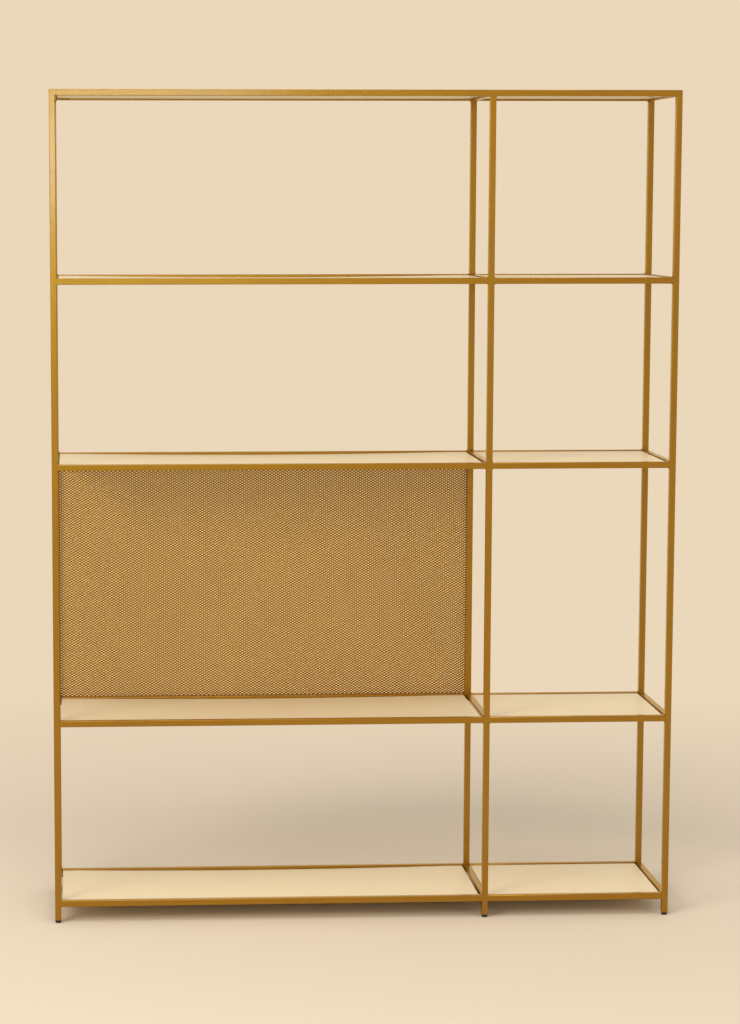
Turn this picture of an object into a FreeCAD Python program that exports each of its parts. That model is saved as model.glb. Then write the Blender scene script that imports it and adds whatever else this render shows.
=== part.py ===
import FreeCAD, Part
import math
import os

import Sketcher
from FreeCAD import Placement, Rotation, Vector

# A shelving unit of welded square tube: six posts, five shelf levels and two bays, a wide one on
# the left and a narrow one on the right. The panels lie loose on corner tabs, expanded metal backs
# the tall row of the wide bay, and each post stands on a levelling glide.
# +X runs to the right, -Y to the front and +Z up. The origin is on the floor, under the middle.

# Driving dimensions in millimetres: alias, value, what it measures
DIMENSIONS = (
    ("overall_width", 1500, "outside width of the frame"),
    ("frame_depth", 350, "outside depth of the frame"),
    ("wide_bay_clear", 1026, "clear width of the wide bay, between its posts"),
    ("bottom_clearance", 40, "floor to the underside of the lowest rails"),
    ("cell_height", 427, "clear height of a row of open compartments"),
    ("mesh_row_height", 604, "clear height of the row that the expanded metal backs"),
    ("tube_size", 15, "side of the square tube"),
    ("tube_wall", 1.5, "wall of the square tube"),
    ("tube_bevel", 1.4, "bevel that stands for the rounding of the tube's outer corners"),
    ("tab_leg", 35, "length of a corner tab along each rail"),
    ("tab_thickness", 3, "thickness of a corner tab"),
    ("tab_rise", 1.5, "underside of the rails to the underside of the tabs"),
    ("panel_thickness", 8, "thickness of a shelf panel"),
    ("panel_edge_chamfer", 0.8, "how far a panel's edges are eased"),
    ("panel_depth_gap", 2, "gap in front of a panel, and behind it"),
    ("wide_panel_left_gap", 2.5, "gap at the left end of a wide panel"),
    ("wide_panel_right_gap", 5, "gap at the right end of a wide panel"),
    ("narrow_panel_left_gap", 1.5, "gap at the left end of a narrow panel"),
    ("narrow_panel_right_gap", 3, "gap at the right end of a narrow panel"),
    ("mesh_thickness", 2, "thickness of the expanded metal"),
    ("mesh_lap", 7.5, "reach of the expanded metal over the tubes around it"),
    ("mesh_long_way", 93, "pitch of the openings along their long diagonal"),
    ("mesh_short_way", 55, "pitch of the openings along their short diagonal"),
    ("mesh_strand", 13, "width of a strand of the expanded metal"),
    ("insert_collar", 2, "thickness of the collar of a leg insert"),
    ("insert_depth", 25, "depth of a leg insert inside its tube"),
    ("glide_pad_diameter", 14, "diameter of a glide's pad"),
    ("glide_pad_height", 4.7, "height of a glide's pad"),
    ("glide_pad_chamfer", 1, "chamfer of the lower edge of a glide's pad"),
    ("glide_stud_diameter", 6, "diameter of a glide's stud"),
    ("glide_stud_length", 24, "length of a glide's stud above its pad"),
    ("glide_bore_clearance", 0.1, "radial clearance of a stud in its bore"),
    ("glide_gap", 0.3, "top of a glide's pad to the collar above it"),
)

# Places and lengths that follow from the driving dimensions: name, expression. A level's height is
# the underside of its rails, and a post's x and y are those of its middle line.
LAYOUT = (
    ("foot_height", "Dimensions.glide_pad_height + Dimensions.glide_gap + Dimensions.insert_collar"),
    ("level_1", "Dimensions.bottom_clearance"),
    ("level_2", "level_1 + Dimensions.tube_size + Dimensions.cell_height"),
    ("level_3", "level_2 + Dimensions.tube_size + Dimensions.mesh_row_height"),
    ("level_4", "level_3 + Dimensions.tube_size + Dimensions.cell_height"),
    ("level_5", "level_4 + Dimensions.tube_size + Dimensions.cell_height"),
    ("post_length", "level_5 + Dimensions.tube_size - foot_height"),
    ("left_x", "(Dimensions.tube_size - Dimensions.overall_width) / 2"),
    ("middle_x", "left_x + Dimensions.tube_size + Dimensions.wide_bay_clear"),
    ("right_x", "(Dimensions.overall_width - Dimensions.tube_size) / 2"),
    ("front_y", "(Dimensions.tube_size - Dimensions.frame_depth - Dimensions.mesh_thickness) / 2"),
    ("rear_y", "front_y + Dimensions.frame_depth - Dimensions.tube_size"),
    ("narrow_bay_clear", "right_x - middle_x - Dimensions.tube_size"),
    ("bay_depth_clear", "Dimensions.frame_depth - 2 * Dimensions.tube_size"),
    ("panel_depth", "bay_depth_clear - 2 * Dimensions.panel_depth_gap"),
    ("panel_seat", "Dimensions.tab_rise + Dimensions.tab_thickness"),
)

LEVELS = (1, 2, 3, 4, 5)
SIDES = ("left", "middle", "right")
FACES = ("front", "rear")
# Each bay with the posts at its left and right, and its clear width
BAYS = {
    "wide": ("left", "middle", "Dimensions.wide_bay_clear"),
    "narrow": ("middle", "right", "Layout.narrow_bay_clear"),
}
# The four corners of a bay seen from above: its side, its face, and the turn of the tab there
CORNERS = (("left", "front", 0), ("right", "front", 90), ("right", "rear", 180), ("left", "rear", 270))

doc = FreeCAD.newDocument("shelving_unit")
sub_parts = []


def make_sheet():
    """Makes the spreadsheet of driving dimensions."""
    sheet = doc.addObject("Spreadsheet::Sheet", "Dimensions")
    for row, (alias, value, meaning) in enumerate(DIMENSIONS, start=1):
        sheet.set(f"A{row}", alias)
        sheet.set(f"B{row}", str(value))
        sheet.set(f"C{row}", meaning)
        sheet.setAlias(f"B{row}", alias)
    doc.recompute()
    return sheet


def make_layout():
    """Makes the set of places and lengths that are worked out from the sheet."""
    layout = doc.addObject("App::VarSet", "Layout")
    for name, expression in LAYOUT:
        layout.addProperty("App::PropertyFloat", name)
        layout.setExpression(name, expression)
    doc.recompute()
    return layout


dimensions = make_sheet()
layout = make_layout()


def size(alias):
    """The value of a driving dimension, in millimetres."""
    return float(dimensions.get(alias))


def place(name):
    """The value of a place or length of the layout, in millimetres."""
    return float(layout.getPropertyByName(name))


def add_body(name, x="0", y="0", z="0"):
    """Adds an empty body, placed by three expressions."""
    body = doc.addObject("PartDesign::Body", name)
    body.Label = name
    for axis, expression in (("x", x), ("y", y), ("z", z)):
        body.setExpression(f"Placement.Base.{axis}", expression)
    return body


def add_sketch(body, name, plane, offset=None):
    """Adds a sketch on an origin plane of its own body, raised by the expression offset."""
    sketch = body.newObject("Sketcher::SketchObject", f"{body.Name}_{name}")
    origin_plane = next(item for item in body.Origin.OriginFeatures if item.Role == plane)
    sketch.AttachmentSupport = [(origin_plane, "")]
    sketch.MapMode = "FlatFace"
    if offset:
        sketch.setExpression("AttachmentOffset.Base.z", offset)
    return sketch


def constrain(sketch, name, expression, *constraint):
    """Adds a dimension to a sketch and binds it to an expression."""
    index = sketch.addConstraint(Sketcher.Constraint(*constraint))
    sketch.renameConstraint(index, name)
    sketch.setExpression(f"Constraints.{name}", expression)


def add_loop(sketch, points):
    """Draws a closed outline of straight lines, and keeps its level and upright lines so."""
    first = sketch.GeometryCount
    count = len(points)
    for index, start in enumerate(points):
        end = points[(index + 1) % count]
        sketch.addGeometry(Part.LineSegment(start, end), False)
        if start.y == end.y:
            sketch.addConstraint(Sketcher.Constraint("Horizontal", first + index))
        elif start.x == end.x:
            sketch.addConstraint(Sketcher.Constraint("Vertical", first + index))
    for index in range(count):
        following = first + (index + 1) % count
        sketch.addConstraint(Sketcher.Constraint("Coincident", first + index, 2, following, 1))


def add_tube_outline(sketch):
    """Draws the outside of the square tube about the sketch's origin. It is drawn first."""
    side = size("tube_size")
    bevel = size("tube_bevel")
    far = side / 2
    near = far - bevel
    add_loop(sketch, [Vector(-near, -far), Vector(near, -far), Vector(far, -near), Vector(far, near),
                      Vector(near, far), Vector(-near, far), Vector(-far, near), Vector(-far, -near)])
    bottom, right, top, left = (0, 2, 4, 6)
    bevels = (1, 3, 5, 7)
    for previous, following in zip(bevels, bevels[1:]):
        sketch.addConstraint(Sketcher.Constraint("Equal", previous, following))
        sketch.addConstraint(Sketcher.Constraint("Perpendicular", previous, following))
    sketch.addConstraint(Sketcher.Constraint("Symmetric", bottom, 1, top, 1, -1, 1))
    constrain(sketch, "width", "Dimensions.tube_size", "DistanceX", left, 1, right, 1, side)
    constrain(sketch, "height", "Dimensions.tube_size", "DistanceY", bottom, 1, top, 1, side)
    constrain(sketch, "bevel_width", "Dimensions.tube_bevel", "DistanceX", bevels[0], 1, bevels[0], 2, bevel)
    constrain(sketch, "bevel_height", "Dimensions.tube_bevel", "DistanceY", bevels[0], 1, bevels[0], 2, bevel)


def add_tube_bore(sketch):
    """Draws the inside of the square tube about the sketch's origin, with sharp corners. The plug
    of a leg insert fills the same outline."""
    first = sketch.GeometryCount
    start_side = size("tube_size") - 2 * size("tube_wall")
    half = start_side / 2
    points = [Vector(-half, -half), Vector(half, -half), Vector(half, half), Vector(-half, half)]
    add_loop(sketch, points)
    bottom, right, top, left = range(first, first + 4)
    sketch.addConstraint(Sketcher.Constraint("Symmetric", bottom, 1, top, 1, -1, 1))
    for name, direction, lines in (("inside_width", "DistanceX", (left, right)),
                                   ("inside_height", "DistanceY", (bottom, top))):
        constrain(sketch, name, "Dimensions.tube_size - 2 * Dimensions.tube_wall",
                  direction, lines[0], 1, lines[1], 1, start_side)


def add_pad(body, sketch, name, length):
    """Raises a sketch into a solid by the expression length."""
    pad = body.newObject("PartDesign::Pad", f"{body.Name}_{name}")
    pad.Profile = sketch
    pad.setExpression("Length", length)
    sketch.Visibility = False
    return pad


def make_tube(name, plane, length, x, y, z):
    """Makes an open square tube, whose middle line starts at x, y, z and runs square to plane."""
    body = add_body(name, x, y, z)
    section = add_sketch(body, "section", plane)
    add_tube_outline(section)
    add_tube_bore(section)
    add_pad(body, section, "tube", length)
    return body


def make_post(side, face):
    """Makes a post: a tube that is open at its foot and closed by a welded cap at its top."""
    wall_below_cap = "Layout.post_length - Dimensions.tube_wall"
    post = make_tube(f"post_{face}_{side}", "XY_Plane", wall_below_cap,
                     f"Layout.{side}_x", f"Layout.{face}_y", "Layout.foot_height")
    cap = add_sketch(post, "cap_outline", "XY_Plane", wall_below_cap)
    add_tube_outline(cap)
    add_pad(post, cap, "cap", "Dimensions.tube_wall")
    sub_parts.append(post)


def make_bay_rail(bay, face, level):
    """Makes a front or rear rail of one bay, from post to post."""
    left_post, _, clear_width = BAYS[bay]
    rail = make_tube(f"rail_{face}_{bay}_{level}", "YZ_Plane", clear_width,
                     f"Layout.{left_post}_x + Dimensions.tube_size / 2", f"Layout.{face}_y",
                     f"Layout.level_{level} + Dimensions.tube_size / 2")
    sub_parts.append(rail)


def make_side_rail(side, level):
    """Makes a side rail, from the rear post forwards to the front post."""
    rail = make_tube(f"rail_side_{side}_{level}", "XZ_Plane", "Layout.bay_depth_clear",
                     f"Layout.{side}_x", "Layout.rear_y - Dimensions.tube_size / 2",
                     f"Layout.level_{level} + Dimensions.tube_size / 2")
    sub_parts.append(rail)


def make_panel(bay, level):
    """Makes a shelf panel with eased edges, which lies on the four corner tabs of its bay."""
    left_post, _, clear_width = BAYS[bay]
    left_gap = f"Dimensions.{bay}_panel_left_gap"
    width = f"{clear_width} - {left_gap} - Dimensions.{bay}_panel_right_gap"
    panel = add_body(f"shelf_panel_{bay}_{level}",
                     f"Layout.{left_post}_x + Dimensions.tube_size / 2 + {left_gap}",
                     "Layout.front_y + Dimensions.tube_size / 2 + Dimensions.panel_depth_gap",
                     f"Layout.level_{level} + Layout.panel_seat")
    outline = add_sketch(panel, "outline", "XY_Plane")
    start_width = size("wide_bay_clear")
    depth = place("panel_depth")
    add_loop(outline, [Vector(0, 0), Vector(start_width, 0), Vector(start_width, depth), Vector(0, depth)])
    outline.addConstraint(Sketcher.Constraint("Coincident", 0, 1, -1, 1))
    constrain(outline, "width", width, "DistanceX", 0, 1, 0, 2, start_width)
    constrain(outline, "depth", "Layout.panel_depth", "DistanceY", 1, 1, 1, 2, depth)
    board = add_pad(panel, outline, "board", "Dimensions.panel_thickness")
    edges = panel.newObject("PartDesign::Chamfer", f"{panel.Name}_edges")
    edges.Base = (board, [])
    edges.UseAllEdges = True
    edges.setExpression("Size", "Dimensions.panel_edge_chamfer")
    sub_parts.append(panel)


def add_group(name, pattern, placements, height):
    """Adds copies of a pattern body as one group of separate solids, raised to height."""
    copies = []
    for copy_placement in placements:
        copy = pattern.Shape.copy()
        copy.Placement = copy_placement
        copies.append(copy)
    group = doc.addObject("Part::Feature", name)
    group.Label = name
    group.Shape = Part.makeCompound(copies)
    group.Placement = Placement(Vector(0, 0, height), Rotation())
    sub_parts.append(group)


def make_corner_tabs():
    """Makes the triangular tabs welded into the corners of every bay at every level."""
    tab = add_body("corner_tab_pattern")
    outline = add_sketch(tab, "outline", "XY_Plane")
    leg = size("tab_leg")
    add_loop(outline, [Vector(0, 0), Vector(leg, 0), Vector(0, leg)])
    outline.addConstraint(Sketcher.Constraint("Coincident", 0, 1, -1, 1))
    outline.addConstraint(Sketcher.Constraint("Equal", 0, 2))
    constrain(outline, "leg", "Dimensions.tab_leg", "DistanceX", 0, 1, 0, 2, leg)
    add_pad(tab, outline, "plate", "Dimensions.tab_thickness")
    doc.recompute()

    inwards = {"left": 1, "right": -1, "front": 1, "rear": -1}
    half_tube = size("tube_size") / 2
    placements = []
    for level in LEVELS:
        for left_post, right_post, _ in BAYS.values():
            posts = {"left": left_post, "right": right_post}
            for side, face, turn in CORNERS:
                x = place(f"{posts[side]}_x") + inwards[side] * half_tube
                y = place(f"{face}_y") + inwards[face] * half_tube
                z = place(f"level_{level}") - place("level_1")
                placements.append(Placement(Vector(x, y, z), Rotation(Vector(0, 0, 1), turn)))
    add_group("corner_tabs", tab, placements, place("level_1") + size("tab_rise"))


def make_leg_inserts():
    """Makes the plastic inserts: a square plug up the tube, a collar under it, and a bore."""
    insert = add_body("leg_insert_pattern")
    collar_outline = add_sketch(insert, "collar_outline", "XY_Plane")
    add_tube_outline(collar_outline)
    add_pad(insert, collar_outline, "collar", "Dimensions.insert_collar")
    plug_outline = add_sketch(insert, "plug_outline", "XY_Plane")
    add_tube_bore(plug_outline)
    plug = add_pad(insert, plug_outline, "plug", "Dimensions.insert_collar + Dimensions.insert_depth")
    bore_outline = add_sketch(insert, "bore_outline", "XY_Plane")
    start_radius = size("glide_stud_diameter") / 2
    bore_outline.addGeometry(Part.Circle(Vector(0, 0, 0), Vector(0, 0, 1), start_radius), False)
    bore_outline.addConstraint(Sketcher.Constraint("Coincident", 0, 3, -1, 1))
    constrain(bore_outline, "radius", "Dimensions.glide_stud_diameter / 2 + Dimensions.glide_bore_clearance",
              "Radius", 0, start_radius)
    doc.recompute()
    volume_before = plug.Shape.Volume
    bore = insert.newObject("PartDesign::Pocket", "leg_insert_pattern_bore")
    bore.Profile = bore_outline
    bore.Type = "ThroughAll"
    bore.Midplane = True
    bore_outline.Visibility = False
    doc.recompute()
    if bore.Shape.Volume >= volume_before:
        raise RuntimeError("the bore of the leg insert cuts nothing")

    placements = []
    for side in SIDES:
        for face in FACES:
            placements.append(Placement(Vector(place(f"{side}_x"), place(f"{face}_y"), 0), Rotation()))
    add_group("leg_inserts", insert, placements, place("foot_height") - size("insert_collar"))


def make_glide(side, face):
    """Makes a levelling glide: a round pad with a stud that screws up into the leg insert."""
    glide = add_body(f"levelling_glide_{face}_{side}", f"Layout.{side}_x", f"Layout.{face}_y")
    profile = add_sketch(glide, "profile", "XZ_Plane")
    pad_radius = size("glide_pad_diameter") / 2
    pad_height = size("glide_pad_height")
    chamfer = size("glide_pad_chamfer")
    stud_radius = size("glide_stud_diameter") / 2
    stud_length = size("glide_stud_length")
    top = pad_height + stud_length
    add_loop(profile, [Vector(0, 0), Vector(pad_radius - chamfer, 0), Vector(pad_radius, chamfer),
                       Vector(pad_radius, pad_height), Vector(stud_radius, pad_height),
                       Vector(stud_radius, top), Vector(0, top)])
    profile.addConstraint(Sketcher.Constraint("Coincident", 0, 1, -1, 1))
    for name, expression, *constraint in (
            ("chamfer_width", "Dimensions.glide_pad_chamfer", "DistanceX", 1, 1, 1, 2, chamfer),
            ("chamfer_height", "Dimensions.glide_pad_chamfer", "DistanceY", 1, 1, 1, 2, chamfer),
            ("pad_radius", "Dimensions.glide_pad_diameter / 2", "DistanceX", -1, 1, 2, 2, pad_radius),
            ("pad_height", "Dimensions.glide_pad_height", "DistanceY", -1, 1, 2, 2, pad_height),
            ("stud_radius", "Dimensions.glide_stud_diameter / 2", "DistanceX", -1, 1, 4, 1, stud_radius),
            ("stud_length", "Dimensions.glide_stud_length", "DistanceY", 4, 1, 4, 2, stud_length)):
        constrain(profile, name, expression, *constraint)
    turned = glide.newObject("PartDesign::Revolution", f"{glide.Name}_turned")
    turned.Profile = profile
    turned.ReferenceAxis = (profile, ["V_Axis"])
    turned.Angle = 360
    profile.Visibility = False
    sub_parts.append(glide)


def mesh_opening(x, z, half_long, half_short, width, height):
    """The outline of one opening about x, z, without the corners that lie outside the clear
    width and height, or None where too little of the opening is left."""
    corners = [Vector(x - half_long, z), Vector(x, z - half_short),
               Vector(x + half_long, z), Vector(x, z + half_short)]
    slack = 0.001
    inside = [point for point in corners
              if -slack <= point.x <= width + slack and -slack <= point.y <= height + slack]
    if len(inside) < 3:
        return None
    return Part.makePolygon(inside + inside[:1])


def make_expanded_metal():
    """Makes the expanded metal behind the tall row of the wide bay: rows of diamond openings,
    each row half a pitch beside the next. At the border, half openings end at the tubes."""
    width = size("wide_bay_clear")
    height = size("mesh_row_height")
    lap = size("mesh_lap")
    across = max(1, round(width / size("mesh_long_way")))
    up = max(1, round(height / size("mesh_short_way")))
    half_pitch_x = width / across / 2
    half_pitch_z = height / up / 2
    # The strands are what stays between two diamonds, so a diamond is the pitch cell drawn in by
    # half a strand on every side
    inner_radius = half_pitch_x * half_pitch_z / math.hypot(half_pitch_x, half_pitch_z)
    open_share = 1 - size("mesh_strand") / 2 / inner_radius
    right = width + lap
    top = height + lap
    border = [Vector(-lap, -lap), Vector(right, -lap), Vector(right, top), Vector(-lap, top)]
    wires = [Part.makePolygon(border + border[:1])]
    for column in range(2 * across + 1):
        for row in range(2 * up + 1):
            if (column + row) % 2:
                continue
            opening = mesh_opening(column * half_pitch_x, row * half_pitch_z,
                                   open_share * half_pitch_x, open_share * half_pitch_z, width, height)
            if opening:
                wires.append(opening)
    face = Part.makeFace(wires, "Part::FaceMakerBullseye")
    mesh = doc.addObject("Part::Feature", "expanded_metal_back")
    mesh.Label = "expanded_metal_back"
    mesh.Shape = face.extrude(Vector(0, 0, size("mesh_thickness")))
    half_tube = size("tube_size") / 2
    # The sheet is drawn from the lower left corner of the clear opening, and stood upright behind it
    corner = Vector(place("left_x") + half_tube,
                    place("rear_y") + half_tube + size("mesh_thickness"),
                    place("level_2") + size("tube_size"))
    mesh.Placement = Placement(corner, Rotation(Vector(1, 0, 0), 90))
    sub_parts.append(mesh)


def check_document():
    """Stops if any object failed, or if a sub-part has no valid shape."""
    for item in doc.Objects:
        if "Invalid" in item.State or "Error" in item.State:
            raise RuntimeError(f"{item.Label} failed: {item.State}")
    for part in sub_parts:
        if part.Shape.isNull() or not part.Shape.isValid():
            raise RuntimeError(f"{part.Label} has no valid shape")


for side in SIDES:
    for face in FACES:
        make_post(side, face)
        make_glide(side, face)
for level in LEVELS:
    for bay in BAYS:
        for face in FACES:
            make_bay_rail(bay, face, level)
        make_panel(bay, level)
    for side in SIDES:
        make_side_rail(side, level)
make_corner_tabs()
make_leg_inserts()
make_expanded_metal()
doc.recompute()
check_document()

os.makedirs("parts", exist_ok=True)
for part in sub_parts:
    part.Shape.exportStep(f"parts/{part.Label}.step")
print(f"{len(sub_parts)} sub-parts written")
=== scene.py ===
import math
import random

import bmesh
import bpy
import numpy as np
from mathutils import Matrix, Vector


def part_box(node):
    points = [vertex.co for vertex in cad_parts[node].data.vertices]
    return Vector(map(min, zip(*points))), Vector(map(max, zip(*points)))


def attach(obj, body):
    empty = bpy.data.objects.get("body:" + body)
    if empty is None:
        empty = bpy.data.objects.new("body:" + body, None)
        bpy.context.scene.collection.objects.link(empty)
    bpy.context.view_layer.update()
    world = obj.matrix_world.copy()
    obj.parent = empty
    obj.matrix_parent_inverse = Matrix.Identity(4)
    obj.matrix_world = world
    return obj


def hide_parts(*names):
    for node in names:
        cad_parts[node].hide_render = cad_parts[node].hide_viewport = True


# A shelving unit of welded square tube in gold metallic paint: six posts, five levels of rails,
# cream lacquered panels lying loose on corner tabs, an expanded metal back in the tall row of the
# wide bay, and black levelling glides. All lengths are in metres.

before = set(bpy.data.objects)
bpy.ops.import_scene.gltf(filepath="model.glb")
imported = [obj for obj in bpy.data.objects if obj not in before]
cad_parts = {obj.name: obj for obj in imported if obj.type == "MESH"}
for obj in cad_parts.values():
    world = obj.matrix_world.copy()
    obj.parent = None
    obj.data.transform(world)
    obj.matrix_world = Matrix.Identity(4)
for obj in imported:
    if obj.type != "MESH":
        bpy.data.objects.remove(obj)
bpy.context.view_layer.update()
random.seed(7)

MM = 0.001
LEVELS = (1, 2, 3, 4, 5)
SIDES = ("left", "middle", "right")
FACES = ("front", "rear")
BAYS = ("wide", "narrow")

SAME_PLACE = 0.001 * MM      # two coordinates nearer than this are the same
TUBE_CORNER = 1.6 * MM       # rounding of the tube's outer corners
TUBE_CORNER_STEPS = 5
CAD_EDGE = 0.35 * MM         # rounding of the tabs' and inserts' edges, which are kept from the CAD
CAD_EDGE_STEPS = 2

WELD_LEG = 2.6 * MM          # reach of a weld fillet on each of its two faces
WELD_MARGIN = 1.2 * MM       # left free at both ends of a fillet, where the tube is rounded
WELD_STEPS_ALONG = 9
WELD_STEPS_ROUND = 5
WELD_HOLLOW = 0.4            # share of a hollow curve in a fillet's outline, the rest being straight

PANEL_EDGE = 1.1 * MM        # rounding of a panel's edges
PANEL_EDGE_STEPS = 3
PANEL_SAG = {1: 4.4 * MM, 2: 4.4 * MM, 3: 4.4 * MM, 4: 4.4 * MM, 5: 0.6 * MM}  # of the wide panels
PANEL_SAG_STEPS = 32
TAB_REACH = 40 * MM          # length of a panel's end that lies flat on its tabs

# The expanded metal: pitch of its holes along the long and the short diagonal, size of a hole, gauge.
# Bulge and twist place the corners of a hole that lie between its tips: how far out, as a share of the
# tips' distance, and how far to the back or the front, as a share of the upper and lower tips' shift.
MESH_LONG_WAY = 10.6 * MM
MESH_SHORT_WAY = 6.4 * MM
MESH_HOLE = (3.4 * MM, 2.1 * MM)
MESH_GAUGE = 0.7 * MM
MESH_BULGE = 0.58
MESH_TWIST = 0.55
MESH_SHEETS = 4              # pieces that the expanded metal is split into, one above the other

# The levelling glides
PAD_HEIGHT = 4.7 * MM
PAD_FOOT = 1.0 * MM          # rounding of a pad's lower edge
PAD_FOOT_STEPS = 5
PAD_RIM = 0.5 * MM           # easing of a pad's upper edge
PAD_STEPS = 48
STUD_RADIUS = 3.0 * MM
STUD_STEPS = 32
THREAD_DEPTH = 0.45 * MM
THREAD_PITCH = 1.0 * MM

# Colours are linear. The floor under the unit looks as the background does when it is lit.
PALE = (0.83, 0.685, 0.495)  # the background and the far floor
NEAR_FLOOR = (0.765, 0.658, 0.513)
FLOOR_RADIUS = 30
FLOOR_STEPS = 96
FLOOR_FADE = (1.2, 3.2)      # distances from the middle where the near floor starts and ends to fade
FLOOR_BOUNCE = 0.5           # light of the far floor on the unit, as a share of its look
STUDIO_LIGHT = (1.0, 0.97, 0.93)
STUDIO_STRENGTH = 0.76

# The lamps: place, point that they are turned to, width and height, power in watts, colour. The
# tubes' clear coat mirrors the key lamp at the top left.
LAMPS = {
    "key": ((-0.7, -7.0, 1.98), (-0.5, 0, 1.8), (1.8, 0.53), 33, (0.63, 0.88, 1.0)),
    "side": ((-4.2, -5.0, 3.4), (0, 0, 0.9), (2.6, 2.2), 185, (1.0, 0.97, 0.93)),
    "top": ((-0.6, -2.6, 5.4), (0, 0, 0.8), (3.0, 2.4), 78, (1.0, 0.98, 0.95)),
}

# The camera: its place, the directions to the picture's right, to its top and away from what it
# sees, its focal length on a sensor 36 mm wide, and the lens shift.
CAMERA_PLACE = (-0.69, -7.0396, 1.7455)
CAMERA_RIGHT = (0.998587, -0.053141, -0.000384)
CAMERA_UP = (0.006919, 0.122842, 0.992402)
CAMERA_BACK = (-0.05269, -0.991002, 0.123036)
CAMERA_LENS = 101.606
CAMERA_SHIFT = (0.13672, 0.04365)


# Geometry

def add_object(name, mesh, material, body, nodes=()):
    """Adds a mesh as a piece that rides on a body and stands for the given nodes."""
    piece = bpy.data.objects.new(name, mesh)
    bpy.context.scene.collection.objects.link(piece)
    mesh.materials.append(material)
    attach(piece, body)
    if nodes:
        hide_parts(*nodes)


def shade_smooth(mesh):
    mesh.polygons.foreach_set("use_smooth", [True] * len(mesh.polygons))


def weigh_normals(mesh):
    """Gives each vertex the mean normal of its faces, weighed by the square of their area, so that
    broad faces shade flat and rounded edges smooth."""
    normals = np.zeros((len(mesh.vertices), 3))
    for face in mesh.polygons:
        weighed = np.array(face.normal) * face.area ** 2
        for vertex in face.vertices:
            normals[vertex] += weighed
    lengths = np.linalg.norm(normals, axis=1)
    normals /= np.where(lengths > 0, lengths, 1)[:, None]
    shade_smooth(mesh)
    mesh.normals_split_custom_set_from_vertices(normals.tolist())


def rounded_box(name, low, high, radius, steps, is_rounded):
    """Makes a box from corner low to corner high. Edges that is_rounded(start, end) picks get a
    rounding of the given radius."""
    shape = bmesh.new()
    bmesh.ops.create_cube(shape, size=1)
    centre = (low + high) / 2
    span = high - low
    for vertex in shape.verts:
        vertex.co = Vector([centre[i] + vertex.co[i] * span[i] for i in range(3)])
    edges = [edge for edge in shape.edges if is_rounded(edge.verts[0].co, edge.verts[1].co)]
    bmesh.ops.bevel(shape, geom=edges, offset=radius, offset_type="OFFSET", segments=steps,
                    profile=0.5, affect="EDGES", clamp_overlap=True)
    mesh = bpy.data.meshes.new(name)
    shape.to_mesh(mesh)
    shape.free()
    mesh.update()
    weigh_normals(mesh)
    return mesh


def mesh_from(name, vertices, faces):
    """Makes a mesh from lists of points and of faces."""
    mesh = bpy.data.meshes.new(name)
    mesh.from_pydata([tuple(v) for v in vertices], [], [tuple(f) for f in faces])
    mesh.update()
    return mesh


def make_post(side, face, paint):
    """A post with rounded corners and a rounded top, where a cap is welded on and ground."""
    node = f"post_{face}_{side}"
    low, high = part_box(node)

    def is_rounded(start, end):
        is_upright = abs(start.z - end.z) > SAME_PLACE
        is_top = min(start.z, end.z) > high.z - SAME_PLACE
        return is_upright or is_top

    mesh = rounded_box(node, low, high, TUBE_CORNER, TUBE_CORNER_STEPS, is_rounded)
    add_object(f"tube_{node}", mesh, paint, "frame", [node])


def make_rail(node, axis, paint):
    """A rail along the given axis. Its ends reach as far into the posts as these are rounded, which
    closes the notch that the rounding leaves at the joint, as the ground weld does."""
    low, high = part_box(node)
    low[axis] -= TUBE_CORNER
    high[axis] += TUBE_CORNER

    def is_rounded(start, end):
        return abs(start[axis] - end[axis]) > SAME_PLACE

    mesh = rounded_box(node, low, high, TUBE_CORNER, TUBE_CORNER_STEPS, is_rounded)
    add_object(f"tube_{node}", mesh, paint, "frame", [node])


def weld_fillet(vertices, faces, start, end, first_normal, second_normal):
    """Adds the surface of a hollow weld fillet along the corner from start to end, between two faces
    with the given outward normals. Its size wanders a little along its length."""
    base = len(vertices)
    for i in range(WELD_STEPS_ALONG + 1):
        share = i / WELD_STEPS_ALONG
        corner = start.lerp(end, share)
        # The fillet is smaller at its ends, and its size varies by 15 % to either side
        fade = min(1.0, 6 * min(share, 1 - share) + 0.35)
        leg = WELD_LEG * fade * (0.85 + 0.3 * random.random())
        for j in range(WELD_STEPS_ROUND + 1):
            turned = j / WELD_STEPS_ROUND
            angle = math.pi / 2 * turned
            reach = [0, 0]  # of the outline on the two faces, as shares of the leg
            if j < WELD_STEPS_ROUND:
                reach[0] = WELD_HOLLOW * (1 - 0.75 * math.sin(angle)) + (1 - WELD_HOLLOW) * (1 - turned)
            if j > 0:
                reach[1] = WELD_HOLLOW * (1 - 0.75 * math.cos(angle)) + (1 - WELD_HOLLOW) * turned
            vertices.append(corner + first_normal * leg * reach[0] + second_normal * leg * reach[1])
    columns = WELD_STEPS_ROUND + 1
    for i in range(WELD_STEPS_ALONG):
        for j in range(WELD_STEPS_ROUND):
            a = base + i * columns + j
            faces.append((a, a + 1, a + 1 + columns, a + columns))


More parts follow.
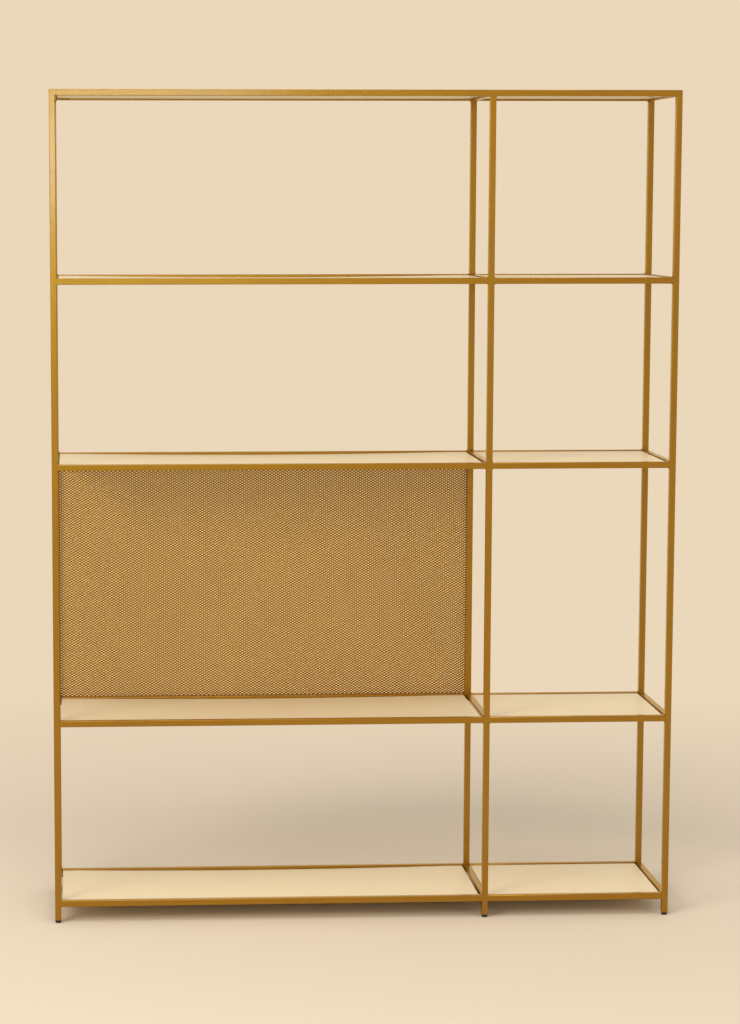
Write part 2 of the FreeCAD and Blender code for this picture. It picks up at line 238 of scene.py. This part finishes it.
def make_weld_fillets(paint):
    """Fillets above and below every rail end, where it meets its post. None lies above the top
    level, where the posts end with the rails."""
    vertices = []
    faces = []
    up = Vector((0, 0, 1))
    for level in LEVELS:
        joints = []
        for bay in BAYS:
            for face in FACES:
                low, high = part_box(f"rail_{face}_{bay}_{level}")
                joints.append((low, high, 0))
        for side in SIDES:
            low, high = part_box(f"rail_side_{side}_{level}")
            joints.append((low, high, 1))
        for low, high, axis in joints:
            across = 1 - axis
            for outward, place in ((1, low[axis]), (-1, high[axis])):
                post_normal = Vector((0, 0, 0))
                post_normal[axis] = outward
                for rail_normal, z in ((up, high.z), (-up, low.z)):
                    if rail_normal.z > 0 and level == LEVELS[-1]:
                        continue
                    start = Vector((0, 0, z))
                    end = Vector((0, 0, z))
                    start[axis] = end[axis] = place
                    start[across] = low[across] + WELD_MARGIN
                    end[across] = high[across] - WELD_MARGIN
                    weld_fillet(vertices, faces, start, end, post_normal, rail_normal)
    mesh = mesh_from("weld_fillets", vertices, faces)
    shape = bmesh.new()
    shape.from_mesh(mesh)
    bmesh.ops.recalc_face_normals(shape, faces=shape.faces)
    shape.to_mesh(mesh)
    shape.free()
    shade_smooth(mesh)
    add_object("weld_fillets", mesh, paint, "frame")


def let_down(mesh, start, end, depth):
    """Lets a board sag by the given depth between two places along x, in the curve of an even load."""
    shape = bmesh.new()
    shape.from_mesh(mesh)
    for i in range(PANEL_SAG_STEPS + 1):
        cut = start + (end - start) * i / PANEL_SAG_STEPS
        bmesh.ops.bisect_plane(shape, geom=shape.verts[:] + shape.edges[:] + shape.faces[:],
                               plane_co=(cut, 0, 0), plane_no=(1, 0, 0))
    for vertex in shape.verts:
        share = min(1, max(0, (vertex.co.x - start) / (end - start)))
        vertex.co.z -= depth * 4 * share * (1 - share)
    shape.to_mesh(mesh)
    shape.free()
    mesh.update()
    weigh_normals(mesh)


def make_panel(bay, level, lacquer):
    """A board with eased edges. The wide ones have sagged a little between their tabs."""
    node = f"shelf_panel_{bay}_{level}"
    low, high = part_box(node)
    mesh = rounded_box(node, low, high, PANEL_EDGE, PANEL_EDGE_STEPS, lambda start, end: True)
    if bay == "wide":
        let_down(mesh, low.x + TAB_REACH, high.x - TAB_REACH, PANEL_SAG[level])
    add_object(f"board_{bay}_{level}", mesh, lacquer, node, [node])


def mesh_pitches(low, high):
    """The pitches of the expanded metal's holes along x and z that fill the sheet with whole ones."""
    width = high.x - low.x
    height = high.z - low.z
    return width / round(width / MESH_LONG_WAY), height / round(height / MESH_SHORT_WAY)


def make_expanded_metal(paint):
    """The expanded metal back at its true pitch: rows of lozenge holes, each row half a pitch beside the
    next. The bonds between the holes of a row are tilted, with their upper edge to the front, and the
    strands between the bonds twist."""
    node = "expanded_metal_back"
    low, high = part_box(node)
    pitches = mesh_pitches(low, high)
    columns = round((high.x - low.x) / pitches[0])
    rows = round((high.z - low.z) / pitches[1])
    far = Vector((pitches[0] / 2, pitches[1] / 2))
    hole = Vector((MESH_HOLE[0] / 2, MESH_HOLE[1] / 2))
    between = hole * MESH_BULGE
    swing = (high.y - low.y - MESH_GAUGE) / 2
    # The corners of a hole, and outside each the matching point of the lozenge that the hole lies
    # in: the middle of a bond or of a strand. The third number is the shift to the back, as a share.
    rim = [(hole.x, 0, 0), (between.x, between.y, MESH_TWIST),
           (0, hole.y, 1), (-between.x, between.y, MESH_TWIST),
           (-hole.x, 0, 0), (-between.x, -between.y, -MESH_TWIST),
           (0, -hole.y, -1), (between.x, -between.y, -MESH_TWIST)]
    border = [(far.x, 0, 0), (far.x / 2, far.y / 2, 0), (0, far.y, 0), (-far.x / 2, far.y / 2, 0),
              (-far.x, 0, 0), (-far.x / 2, -far.y / 2, 0), (0, -far.y, 0), (far.x / 2, -far.y / 2, 0)]
    outline = np.array(rim + border)
    corners = len(rim)
    layer = len(outline)
    middle_y = (low.y + high.y) / 2
    cell = np.zeros((2 * layer, 3))
    for side, first in ((-1, 0), (1, layer)):
        cell[first:first + layer, 0] = outline[:, 0]
        cell[first:first + layer, 1] = middle_y + outline[:, 2] * swing + side * MESH_GAUGE / 2
        cell[first:first + layer, 2] = outline[:, 1]
    # The front, the back and the hole's wall
    quads = []
    for i in range(corners):
        j = (i + 1) % corners
        quads.append((i, i + corners, j + corners, j))
        quads.append((j + layer, j + layer + corners, i + layer + corners, i + layer))
        quads.append((i, j, j + layer, i + layer))
    quads = np.array(quads)
    for sheet in range(MESH_SHEETS):
        places = []
        for row in range(2 * rows * sheet // MESH_SHEETS, 2 * rows * (sheet + 1) // MESH_SHEETS):
            for column in range(columns + 1 if row % 2 == 0 else columns):
                places.append((low.x + (2 * column + row % 2) * far.x, 0, low.z + row * far.y))
        places = np.array(places)
        vertices = (places[:, None, :] + cell[None, :, :]).reshape(-1, 3)
        vertices[:, 0] = np.clip(vertices[:, 0], low.x, high.x)
        vertices[:, 2] = np.clip(vertices[:, 2], low.z, high.z)
        faces = (len(cell) * np.arange(len(places))[:, None, None] + quads[None, :, :]).reshape(-1, 4)
        mesh = mesh_from(f"expanded_metal_{sheet + 1}", vertices.tolist(), faces.tolist())
        add_object(f"expanded_metal_{sheet + 1}", mesh, paint, "frame", [node])


def lathe(name, profile, centre, steps):
    """Turns a profile of (radius, height) points about an upright axis through centre."""
    vertices = []
    faces = []
    for radius, height in profile:
        for i in range(steps):
            angle = 2 * math.pi * i / steps
            vertices.append((centre.x + radius * math.cos(angle), centre.y + radius * math.sin(angle),
                             centre.z + height))
    for ring in range(len(profile) - 1):
        for i in range(steps):
            a = ring * steps + i
            b = ring * steps + (i + 1) % steps
            faces.append((a, b, b + steps, a + steps))
    faces.append(tuple(reversed(range(steps))))
    last = (len(profile) - 1) * steps
    faces.append(tuple(range(last, last + steps)))
    return mesh_from(name, vertices, faces)


def make_glide(side, face, plastic, steel):
    """A levelling glide: a round pad with eased edges and a threaded steel stud."""
    node = f"levelling_glide_{face}_{side}"
    low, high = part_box(node)
    centre = Vector(((low.x + high.x) / 2, (low.y + high.y) / 2, low.z))
    pad_radius = (high.x - low.x) / 2
    profile = []
    for i in range(PAD_FOOT_STEPS + 1):
        angle = math.pi / 2 * i / PAD_FOOT_STEPS
        profile.append((pad_radius - PAD_FOOT + PAD_FOOT * math.sin(angle),
                        PAD_FOOT - PAD_FOOT * math.cos(angle)))
    profile.append((pad_radius, PAD_HEIGHT - PAD_RIM))
    profile.append((pad_radius - 0.3 * PAD_RIM, PAD_HEIGHT - 0.3 * PAD_RIM))
    profile.append((pad_radius - PAD_RIM, PAD_HEIGHT))
    pad = lathe(f"{node}_pad", profile, centre, PAD_STEPS)
    weigh_normals(pad)
    add_object(f"glide_pad_{face}_{side}", pad, plastic, node, [node])

    # The stud starts inside the pad. Its threads end below its pointed top.
    groove = STUD_RADIUS - THREAD_DEPTH
    crest = STUD_RADIUS - 0.02 * MM
    top = high.z - low.z
    profile = [(groove, PAD_HEIGHT - 0.3 * MM)]
    z = PAD_HEIGHT
    while z + THREAD_PITCH < top - THREAD_PITCH:
        profile.append((groove, z))
        profile.append((crest, z + 0.4 * THREAD_PITCH))
        profile.append((crest, z + 0.6 * THREAD_PITCH))
        z += THREAD_PITCH
    profile.append((groove, z))
    profile.append((groove, top - 0.6 * MM))
    profile.append((groove - THREAD_DEPTH, top))
    stud = lathe(f"{node}_stud", profile, centre, STUD_STEPS)
    add_object(f"glide_stud_{face}_{side}", stud, steel, node, [node])


# Materials

class Shader:
    """A small helper that builds a material's nodes."""

    def __init__(self, name):
        self.material = bpy.data.materials.new(name)
        self.material.use_nodes = True
        self.tree = self.material.node_tree
        self.tree.nodes.clear()
        self.output = self.node("ShaderNodeOutputMaterial")

    def node(self, kind, **values):
        made = self.tree.nodes.new(kind)
        for name, value in values.items():
            setattr(made, name, value)
        return made

    def link(self, source, target):
        self.tree.links.new(source, target)

    def place(self):
        """The point of the surface in the object's own coordinates."""
        return self.node("ShaderNodeTexCoord").outputs["Object"]

    def noise(self, scale, detail, roughness=0.5):
        """Noise between 0 and 1, of the given scale per metre."""
        made = self.node("ShaderNodeTexNoise")
        made.inputs["Scale"].default_value = scale
        made.inputs["Detail"].default_value = detail
        made.inputs["Roughness"].default_value = roughness
        self.link(self.place(), made.inputs["Vector"])
        return made.outputs["Fac"]

    def waves(self, lattice):
        """A product of two waves across a lattice of holes: 1 at a hole, 0 at the middle of a strand and
        -1 at a bond. The lattice is given by its corner and its two pitches."""
        parts = self.node("ShaderNodeSeparateXYZ")
        self.link(self.place(), parts.inputs[0])
        product = self.node("ShaderNodeMath", operation="MULTIPLY")
        corner, pitches = lattice
        for i, axis in enumerate(("X", "Z")):
            shifted = self.node("ShaderNodeMath", operation="SUBTRACT")
            shifted.inputs[1].default_value = corner[i]
            turned = self.node("ShaderNodeMath", operation="MULTIPLY")
            turned.inputs[1].default_value = 2 * math.pi / pitches[i]
            wave = self.node("ShaderNodeMath", operation="COSINE")
            self.link(parts.outputs[axis], shifted.inputs[0])
            self.link(shifted.outputs[0], turned.inputs[0])
            self.link(turned.outputs[0], wave.inputs[0])
            self.link(wave.outputs[0], product.inputs[i])
        return product.outputs[0]

    def spread(self, value, low, high, to_low, to_high):
        """Maps a value from the range low to high to the range to_low to to_high, and clamps it."""
        made = self.node("ShaderNodeMapRange")
        for name, number in (("From Min", low), ("From Max", high), ("To Min", to_low), ("To Max", to_high)):
            made.inputs[name].default_value = number
        self.link(value, made.inputs["Value"])
        return made.outputs["Result"]

    def blend(self, factor, first, second):
        """Goes from the first colour to the second as factor goes from 0 to 1."""
        made = self.node("ShaderNodeMix", data_type="RGBA")
        self.link(factor, made.inputs["Factor"])
        for socket, colour in ((made.inputs["A"], first), (made.inputs["B"], second)):
            if isinstance(colour, tuple):
                socket.default_value = (*colour, 1)
            else:
                self.link(colour, socket)
        return made.outputs["Result"]

    def bump(self, height, strength, distance, normal=None):
        """Turns heights into a normal, on top of the given one."""
        made = self.node("ShaderNodeBump")
        made.inputs["Strength"].default_value = strength
        made.inputs["Distance"].default_value = distance
        self.link(height, made.inputs["Height"])
        if normal is not None:
            self.link(normal, made.inputs["Normal"])
        return made.outputs["Normal"]

    def principled(self, **values):
        made = self.node("ShaderNodeBsdfPrincipled")
        for name, value in values.items():
            made.inputs[name.replace("_", " ")].default_value = value
        self.link(made.outputs["BSDF"], self.output.inputs["Surface"])
        return made


def gold_paint(name, base, deep, roughness, coat, lattice=None):
    """Gold metallic paint: satin, with a fine flake, a faint orange peel and a slow drift of tone from base
    to deep, under a thin clear coat of the given weight and roughness. Across a lattice of holes, painted
    shade darkens the bonds and a painted highlight pales the metal next to the holes."""
    shader = Shader(name)
    body = shader.principled(Metallic=0.9, IOR=1.5, Specular_Tint=(1.0, 0.86, 0.32, 1),
                             Coat_Weight=coat[0], Coat_Roughness=coat[1], Coat_IOR=1.5)
    drift = shader.spread(shader.noise(9, 3), 0.35, 0.65, 0, 1)
    tone = shader.blend(drift, base, deep)
    if lattice:
        # Painted shade and painted highlight: the bonds are darkened to a shadow colour, and the metal next
        # to the holes is paled to a lit colour
        hollow = tuple(0.36 * part for part in deep)
        crest = tuple(1.9 * part for part in base)
        waves = shader.waves(lattice)
        tone = shader.blend(shader.spread(waves, -1, 0, 0, 1), hollow, tone)
        tone = shader.blend(shader.spread(waves, 0, 1, 0, 1), tone, crest)
    flake = shader.spread(shader.noise(5200, 1, 0.4), 0.52, 0.72, 0, 0.09)
    lit = tuple(min(1.0, 1.35 * part) for part in base)
    shader.link(shader.blend(flake, tone, lit), body.inputs["Base Color"])
    cloud = shader.spread(shader.noise(30, 1), 0.3, 0.7, roughness - 0.006, roughness + 0.006)
    shader.link(cloud, body.inputs["Roughness"])
    peel = shader.bump(shader.noise(420, 2), 0.02, 0.0003)
    grain = shader.bump(shader.noise(4200, 1), 0.01, 0.0001, peel)
    shader.link(grain, body.inputs["Normal"])
    return shader.material


def cream_lacquer():
    """Cream lacquered board: satin, with a faint peel, soft mottling and a few dull specks."""
    shader = Shader("cream_lacquer")
    body = shader.principled(IOR=1.5)
    mottle = shader.spread(shader.noise(3.2, 3, 0.5), 0.35, 0.65, 0, 1)
    tone = shader.blend(mottle, (0.835, 0.700, 0.460), (0.820, 0.682, 0.443))
    speck = shader.spread(shader.noise(420, 1, 0.3), 0.80, 0.83, 0, 0.08)
    shader.link(shader.blend(speck, tone, (0.50, 0.38, 0.24)), body.inputs["Base Color"])
    wipe = shader.noise(6, 3, 0.5)
    shader.link(shader.spread(wipe, 0.3, 0.7, 0.38, 0.42), body.inputs["Roughness"])
    peel = shader.bump(shader.noise(500, 2), 0.015, 0.0001)
    shader.link(peel, body.inputs["Normal"])
    return shader.material


def black_plastic():
    """Black moulded plastic with a fine grain and a dusty bloom."""
    shader = Shader("black_plastic")
    body = shader.principled(IOR=1.48)
    dust = shader.spread(shader.noise(300, 4, 0.6), 0.45, 0.75, 0, 0.5)
    tone = shader.blend(dust, (0.012, 0.011, 0.010), (0.05, 0.042, 0.034))
    shader.link(tone, body.inputs["Base Color"])
    gloss = shader.spread(shader.noise(700, 3), 0.3, 0.7, 0.38, 0.55)
    shader.link(gloss, body.inputs["Roughness"])
    grain = shader.bump(shader.noise(2600, 2), 0.3, 0.0002)
    shader.link(grain, body.inputs["Normal"])
    return shader.material


def zinc_steel():
    """Zinc-plated steel, cloudy, with a fine grain."""
    shader = Shader("zinc_steel")
    body = shader.principled(Metallic=1.0, IOR=1.5)
    cloud = shader.spread(shader.noise(160, 3), 0.35, 0.65, 0, 1)
    shader.link(shader.blend(cloud, (0.55, 0.55, 0.53), (0.42, 0.42, 0.41)), body.inputs["Base Color"])
    gloss = shader.spread(shader.noise(600, 2), 0.3, 0.7, 0.28, 0.42)
    shader.link(gloss, body.inputs["Roughness"])
    grain = shader.bump(shader.noise(3000, 1), 0.15, 0.0001)
    shader.link(grain, body.inputs["Normal"])
    return shader.material


def seen_rays(tree):
    """1 for the rays by which the lens, metal, gloss and glass see the studio, and 0 for those that
    light the unit."""
    path = tree.nodes.new("ShaderNodeLightPath")
    seen = path.outputs["Is Camera Ray"]
    for name in ("Is Glossy Ray", "Is Transmission Ray"):
        either = tree.nodes.new("ShaderNodeMath")
        either.operation = "MAXIMUM"
        tree.links.new(seen, either.inputs[0])
        tree.links.new(path.outputs[name], either.inputs[1])
        seen = either.outputs[0]
    return seen


def floor_material():
    """A plain pale floor that keeps the shadow near the unit and fades into the background. The far
    floor lights the unit less than it shows, so that undersides stay in shade."""
    shader = Shader("pale_floor")
    near = shader.node("ShaderNodeBsdfDiffuse")
    near.inputs["Color"].default_value = (*NEAR_FLOOR, 1)
    far = shader.node("ShaderNodeEmission")
    far.inputs["Color"].default_value = (*PALE, 1)
    shader.link(shader.spread(seen_rays(shader.tree), 0, 1, FLOOR_BOUNCE, 1), far.inputs["Strength"])
    length = shader.node("ShaderNodeVectorMath", operation="LENGTH")
    shader.link(shader.place(), length.inputs[0])
    fade = shader.spread(length.outputs["Value"], FLOOR_FADE[0], FLOOR_FADE[1], 0, 1)
    mix = shader.node("ShaderNodeMixShader")
    shader.link(fade, mix.inputs["Fac"])
    shader.link(near.outputs["BSDF"], mix.inputs[1])
    shader.link(far.outputs["Emission"], mix.inputs[2])
    shader.link(mix.outputs["Shader"], shader.output.inputs["Surface"])
    return shader.material


# Studio

def make_world():
    """Even studio light. What the lens, metal and gloss see of it is the pale background."""
    world = bpy.data.worlds.new("studio")
    bpy.context.scene.world = world
    world.use_nodes = True
    tree = world.node_tree
    tree.nodes.clear()
    output = tree.nodes.new("ShaderNodeOutputWorld")
    seen = tree.nodes.new("ShaderNodeBackground")
    seen.inputs["Color"].default_value = (*PALE, 1)
    seen.inputs["Strength"].default_value = 1.0
    lighting = tree.nodes.new("ShaderNodeBackground")
    lighting.inputs["Color"].default_value = (*STUDIO_LIGHT, 1)
    lighting.inputs["Strength"].default_value = STUDIO_STRENGTH
    mix = tree.nodes.new("ShaderNodeMixShader")
    tree.links.new(seen_rays(tree), mix.inputs["Fac"])
    tree.links.new(lighting.outputs[0], mix.inputs[1])
    tree.links.new(seen.outputs[0], mix.inputs[2])
    tree.links.new(mix.outputs[0], output.inputs["Surface"])


def make_lamp(name, place, target, size, power, colour):
    """An area lamp at the given place, turned to the target and not seen by the camera."""
    lamp = bpy.data.lights.new(name, "AREA")
    lamp.shape = "RECTANGLE"
    lamp.size, lamp.size_y = size
    lamp.energy = power
    lamp.color = colour
    holder = bpy.data.objects.new(name, lamp)
    bpy.context.scene.collection.objects.link(holder)
    holder.visible_camera = False
    holder.location = place
    holder.rotation_mode = "QUATERNION"
    holder.rotation_quaternion = (Vector(target) - Vector(place)).to_track_quat("-Z", "Y")


def make_floor(material):
    """A round floor, wide enough for every view."""
    shape = bmesh.new()
    bmesh.ops.create_circle(shape, cap_ends=True, segments=FLOOR_STEPS, radius=FLOOR_RADIUS)
    mesh = bpy.data.meshes.new("floor")
    shape.to_mesh(mesh)
    shape.free()
    mesh.materials.append(material)
    floor = bpy.data.objects.new("floor", mesh)
    bpy.context.scene.collection.objects.link(floor)


def make_camera():
    """The photograph's viewing angle."""
    lens = bpy.data.cameras.new("camera")
    lens.lens = CAMERA_LENS
    lens.sensor_width = 36
    lens.sensor_fit = "AUTO"
    lens.shift_x, lens.shift_y = CAMERA_SHIFT
    lens.clip_start = 0.1
    lens.clip_end = 100
    camera = bpy.data.objects.new("camera", lens)
    bpy.context.scene.collection.objects.link(camera)
    turn = Matrix((CAMERA_RIGHT, CAMERA_UP, CAMERA_BACK)).transposed()
    camera.matrix_world = Matrix.LocRotScale(Vector(CAMERA_PLACE), turn.to_quaternion(), None)
    bpy.context.scene.camera = camera


# The unit

mesh_low, mesh_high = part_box("expanded_metal_back")
tube_paint = gold_paint("gold_tube_paint", base=(0.365, 0.178, 0.004), deep=(0.344, 0.166, 0.004),
                        roughness=0.31, coat=(0.65, 0.135))
# The expanded metal's paint has painted shade on its bonds and a painted highlight next to its holes
mesh_paint = gold_paint("gold_mesh_paint_painted_shade_and_highlight", base=(0.42, 0.235, 0.030), deep=(0.396, 0.219, 0.028),
                        roughness=0.40, coat=(0.26, 0.34),
                        lattice=((mesh_low.x, mesh_low.z), mesh_pitches(mesh_low, mesh_high)))
lacquer = cream_lacquer()
plastic = black_plastic()
steel = zinc_steel()

for side in SIDES:
    for face in FACES:
        make_post(side, face, tube_paint)
        make_glide(side, face, plastic, steel)
for level in LEVELS:
    for bay in BAYS:
        for face in FACES:
            make_rail(f"rail_{face}_{bay}_{level}", 0, tube_paint)
        make_panel(bay, level, lacquer)
    for side in SIDES:
        make_rail(f"rail_side_{side}_{level}", 1, tube_paint)
make_weld_fillets(tube_paint)
make_expanded_metal(mesh_paint)

# The corner tabs and the leg inserts keep the CAD's shape, with eased edges
for node, material in (("corner_tabs", tube_paint), ("leg_inserts", plastic)):
    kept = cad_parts[node]
    kept.data.materials.clear()
    kept.data.materials.append(material)
    eased = kept.modifiers.new("eased_edges", "BEVEL")
    eased.width = CAD_EDGE
    eased.segments = CAD_EDGE_STEPS
    eased.limit_method = "ANGLE"
    eased.harden_normals = True

make_world()
make_floor(floor_material())
for name, settings in LAMPS.items():
    make_lamp(name, *settings)
make_camera()
bpy.context.scene.view_settings.view_transform = "Standard"
